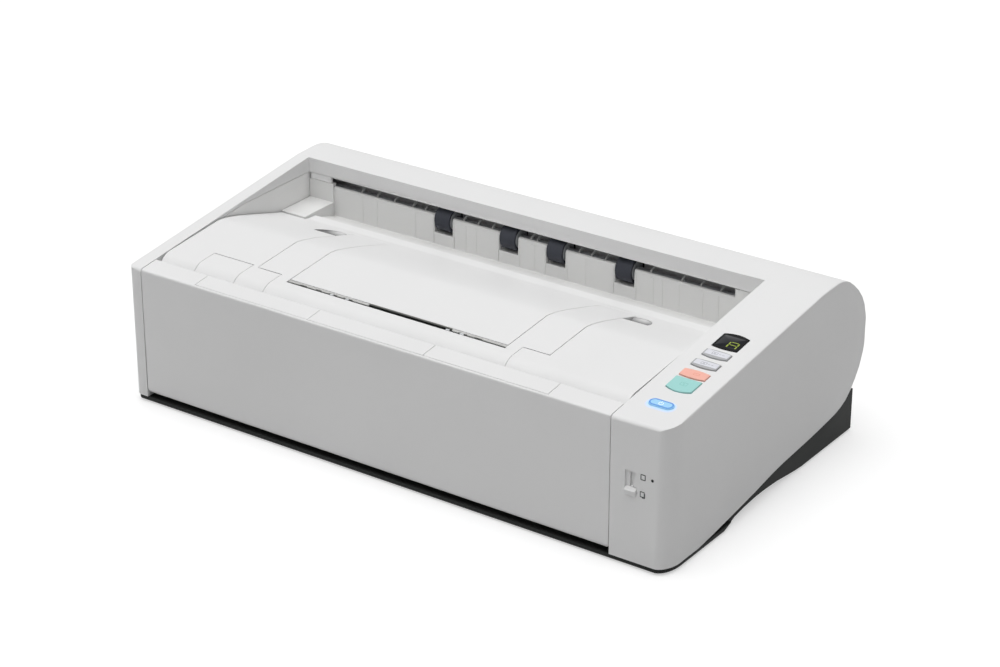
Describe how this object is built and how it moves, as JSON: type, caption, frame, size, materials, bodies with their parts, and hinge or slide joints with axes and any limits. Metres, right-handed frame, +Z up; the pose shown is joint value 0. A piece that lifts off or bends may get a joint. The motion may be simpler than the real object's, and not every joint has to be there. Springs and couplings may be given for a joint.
{
  "type": "document scanner",
  "caption": "Low desktop document scanner with a front cover that folds down as the feed tray and an eject slot under the rear rim of its sloping top.",
  "frame": {"origin": "middle of the footprint, on the desk", "axes": "+X to the right seen from the front, +Y from the front cover to the back, +Z up"},
  "size_m": [0.424, 0.246, 0.121],
  "materials": {
    "casing_white": "fine satin moulding texture, warm grey-white",
    "tray_white": "fine satin moulding texture, warm grey-white",
    "unit_white": "fine satin moulding texture, warm grey-white",
    "inner_white": "plain moulded plastic",
    "base_black": "matt black moulding",
    "foot_rubber": "matt rubber",
    "roller_rubber": "ground charcoal rubber",
    "shaft_steel": "turned steel",
    "nylon_natural": "natural nylon",
    "dark_plastic": "black moulding",
    "guide_black": "dark moulding",
    "sensor_glass": "clear glass",
    "board_green": "solder mask",
    "display_black": "dark glossy window",
    "key_silver": "silver-grey paint",
    "key_salmon": "salmon plastic",
    "key_mint": "mint plastic",
    "key_blue": "lit blue plastic",
    "motor_steel": "plated steel",
    "port_steel": "plated shell"
  },
  "bodies": {
    "main_body": {"outer_casing": "casing_white", "base_pan": "base_black", "foot_front_left": "foot_rubber", "foot_front_right": "foot_rubber", "foot_rear_left": "foot_rubber", "foot_rear_right": "foot_rubber", "left_side_frame": "inner_white", "right_side_frame": "inner_white", "lower_guide": "inner_white", "exit_guide": "inner_white", "turn_guide": "guide_black", "hinge_rod": "shaft_steel", "drive_motor": "motor_steel", "drive_belt": "dark_plastic", "exit_belt": "dark_plastic", "lower_sensor": "dark_plastic", "lower_glass": "sensor_glass", "main_board": "board_green", "panel_board": "board_green", "power_inlet": "dark_plastic", "data_port": "port_steel", "display": "display_black"},
    "front_unit": {"eject_surface": "unit_white", "unit_frame": "inner_white", "upper_sensor": "dark_plastic", "upper_glass": "sensor_glass"},
    "feed_tray": {"feed_tray": "tray_white", "feed_plate": "inner_white"},
    "tray_extension": {"tray_extension": "tray_white"},
    "tray_extension_end": {"tray_extension_end": "tray_white"},
    "left_paper_guide": {"left_paper_guide": "inner_white"},
    "right_paper_guide": {"right_paper_guide": "inner_white"},
    "guide_pinion": {"guide_pinion": "nylon_natural"},
    "eject_support": {"eject_support": "unit_white"},
    "open_lever": {"open_lever": "unit_white", "latch_shaft": "shaft_steel"},
    "retard_roller": {"retard_roller": "roller_rubber"},
    "front_pinch_shaft": {"front_pinch_shaft": "shaft_steel"},
    "rear_pinch_shaft": {"rear_pinch_shaft": "shaft_steel"},
    "exit_pinch_shaft": {"exit_pinch_shaft": "shaft_steel"},
    "motor_pulley": {"motor_pulley": "nylon_natural"},
    "feed_roller": {"feed_shaft": "nylon_natural", "feed_tyre": "roller_rubber", "feed_pulley": "nylon_natural"},
    "front_drive_shaft": {"front_drive_shaft": "shaft_steel"},
    "rear_drive_shaft": {"rear_drive_shaft": "shaft_steel", "rear_pulley": "nylon_natural"},
    "jack_gear": {"jack_gear": "nylon_natural"},
    "exit_rollers": {"exit_shaft": "nylon_natural", "exit_tyre_1": "roller_rubber", "exit_tyre_2": "roller_rubber", "exit_tyre_3": "roller_rubber", "exit_tyre_4": "roller_rubber", "exit_gear": "nylon_natural"},
    "grey_button_rear": {"grey_button_rear": "key_silver"},
    "grey_button_front": {"grey_button_front": "key_silver"},
    "stop_button": {"stop_button": "key_salmon"},
    "start_button": {"start_button": "key_mint"},
    "power_button": {"power_button": "key_blue"},
    "feed_switch": {"feed_switch": "casing_white"}
  },
  "joints": [
    {"name": "front_unit_hinge", "type": "hinge", "parent": "main_body", "child": "front_unit", "pos_m": [0, -0.114, 0.014], "axis": [1, 0, 0], "range_deg": [0, 40]},
    {"name": "feed_tray_hinge", "type": "hinge", "parent": "front_unit", "child": "feed_tray", "pos_m": [0, -0.114, 0.014], "axis": [1, 0, 0], "range_deg": [0, 48]},
    {"name": "tray_extension_slide", "type": "slide", "parent": "feed_tray", "child": "tray_extension", "axis": [0, 0, 1], "range_m": [0, 0.06]},
    {"name": "tray_extension_end_slide", "type": "slide", "parent": "tray_extension", "child": "tray_extension_end", "axis": [0, 0, 1], "range_m": [0, 0.055]},
    {"name": "left_paper_guide_slide", "type": "slide", "parent": "feed_tray", "child": "left_paper_guide", "axis": [1, 0, 0], "range_m": [0, 0.1]},
    {"name": "right_paper_guide_slide", "type": "slide", "parent": "feed_tray", "child": "right_paper_guide", "axis": [1, 0, 0], "range_m": [-0.1, 0]},
    {"name": "guide_pinion_turn", "type": "hinge", "parent": "feed_tray", "child": "guide_pinion", "pos_m": [-0.0155, -0.1108, 0.04], "axis": [0, 1, 0], "range_deg": [0, 1200]},
    {"name": "eject_support_hinge", "type": "hinge", "parent": "front_unit", "child": "eject_support", "pos_m": [0, -0.092, 0.0887], "axis": [1, 0, 0], "range_deg": [0, 85]},
    {"name": "open_lever_hinge", "type": "hinge", "parent": "front_unit", "child": "open_lever", "pos_m": [0, -0.092, 0.0887], "axis": [1, 0, 0], "range_deg": [0, 20], "stiffness_Nm_per_rad": 0.02, "springref_deg": -11.46},
    {"name": "retard_roller_spin", "type": "hinge", "parent": "front_unit", "child": "retard_roller", "pos_m": [0, -0.078, 0.0497], "axis": [1, 0, 0], "continuous": true},
    {"name": "rear_drive_spin", "type": "hinge", "parent": "main_body", "child": "rear_drive_shaft", "pos_m": [0, 0.026, 0.0321], "axis": [1, 0, 0], "continuous": true},
    {"name": "front_drive_spin", "type": "hinge", "parent": "main_body", "child": "front_drive_shaft", "pos_m": [0, -0.0442, 0.0321], "axis": [1, 0, 0], "continuous": true},
    {"name": "feed_roller_spin", "type": "hinge", "parent": "main_body", "child": "feed_roller", "pos_m": [0, -0.078, 0.028], "axis": [1, 0, 0], "continuous": true},
    {"name": "motor_spin", "type": "hinge", "parent": "main_body", "child": "motor_pulley", "pos_m": [0, -0.0104, 0.026], "axis": [1, 0, 0], "continuous": true},
    {"name": "jack_gear_spin", "type": "hinge", "parent": "main_body", "child": "jack_gear", "pos_m": [0, 0.07707, 0.08516], "axis": [1, 0, 0], "continuous": true},
    {"name": "exit_roller_spin", "type": "hinge", "parent": "main_body", "child": "exit_rollers", "pos_m": [0, 0.0655, 0.09895], "axis": [1, 0, 0], "continuous": true},
    {"name": "exit_pinch_spin", "type": "hinge", "parent": "main_body", "child": "exit_pinch_shaft", "pos_m": [0, 0.0655, 0.11225], "axis": [1, 0, 0], "continuous": true},
    {"name": "front_pinch_spin", "type": "hinge", "parent": "front_unit", "child": "front_pinch_shaft", "pos_m": [0, -0.0442, 0.0454], "axis": [1, 0, 0], "continuous": true},
    {"name": "rear_pinch_spin", "type": "hinge", "parent": "front_unit", "child": "rear_pinch_shaft", "pos_m": [0, 0.026, 0.0454], "axis": [1, 0, 0], "continuous": true},
    {"name": "grey_button_rear_press", "type": "slide", "parent": "main_body", "child": "grey_button_rear", "axis": [0, -0.1185, 0.993], "range_m": [-0.0008, 0], "stiffness_N_per_m": 400, "springref_m": 0.001},
    {"name": "grey_button_front_press", "type": "slide", "parent": "main_body", "child": "grey_button_front", "axis": [0, -0.1185, 0.993], "range_m": [-0.0008, 0], "stiffness_N_per_m": 400, "springref_m": 0.001},
    {"name": "stop_button_press", "type": "slide", "parent": "main_body", "child": "stop_button", "axis": [0, -0.1185, 0.993], "range_m": [-0.0008, 0], "stiffness_N_per_m": 400, "springref_m": 0.001},
    {"name": "start_button_press", "type": "slide", "parent": "main_body", "child": "start_button", "axis": [0, -0.1185, 0.993], "range_m": [-0.0008, 0], "stiffness_N_per_m": 400, "springref_m": 0.001},
    {"name": "power_button_press", "type": "slide", "parent": "main_body", "child": "power_button", "axis": [0, -0.1185, 0.993], "range_m": [-0.0008, 0], "stiffness_N_per_m": 400, "springref_m": 0.001},
    {"name": "feed_switch_slide", "type": "slide", "parent": "main_body", "child": "feed_switch", "axis": [0, 0, 1], "range_m": [0, 0.0087]}
  ],
  "couplings": [
    {"joint": "front_drive_spin", "follows": "rear_drive_spin", "ratio": 1},
    {"joint": "feed_roller_spin", "follows": "rear_drive_spin", "ratio": 1},
    {"joint": "motor_spin", "follows": "rear_drive_spin", "ratio": 1.2941},
    {"joint": "jack_gear_spin", "follows": "rear_drive_spin", "ratio": 1},
    {"joint": "exit_roller_spin", "follows": "rear_drive_spin", "ratio": -1},
    {"joint": "exit_pinch_spin", "follows": "rear_drive_spin", "ratio": 2.25},
    {"joint": "front_pinch_spin", "follows": "rear_drive_spin", "ratio": -1.1667},
    {"joint": "rear_pinch_spin", "follows": "rear_drive_spin", "ratio": -1.1667},
    {"joint": "right_paper_guide_slide", "follows": "left_paper_guide_slide", "ratio": -1},
    {"joint": "guide_pinion_turn", "follows": "left_paper_guide_slide", "rad_per_m": 206.19}
  ]
}
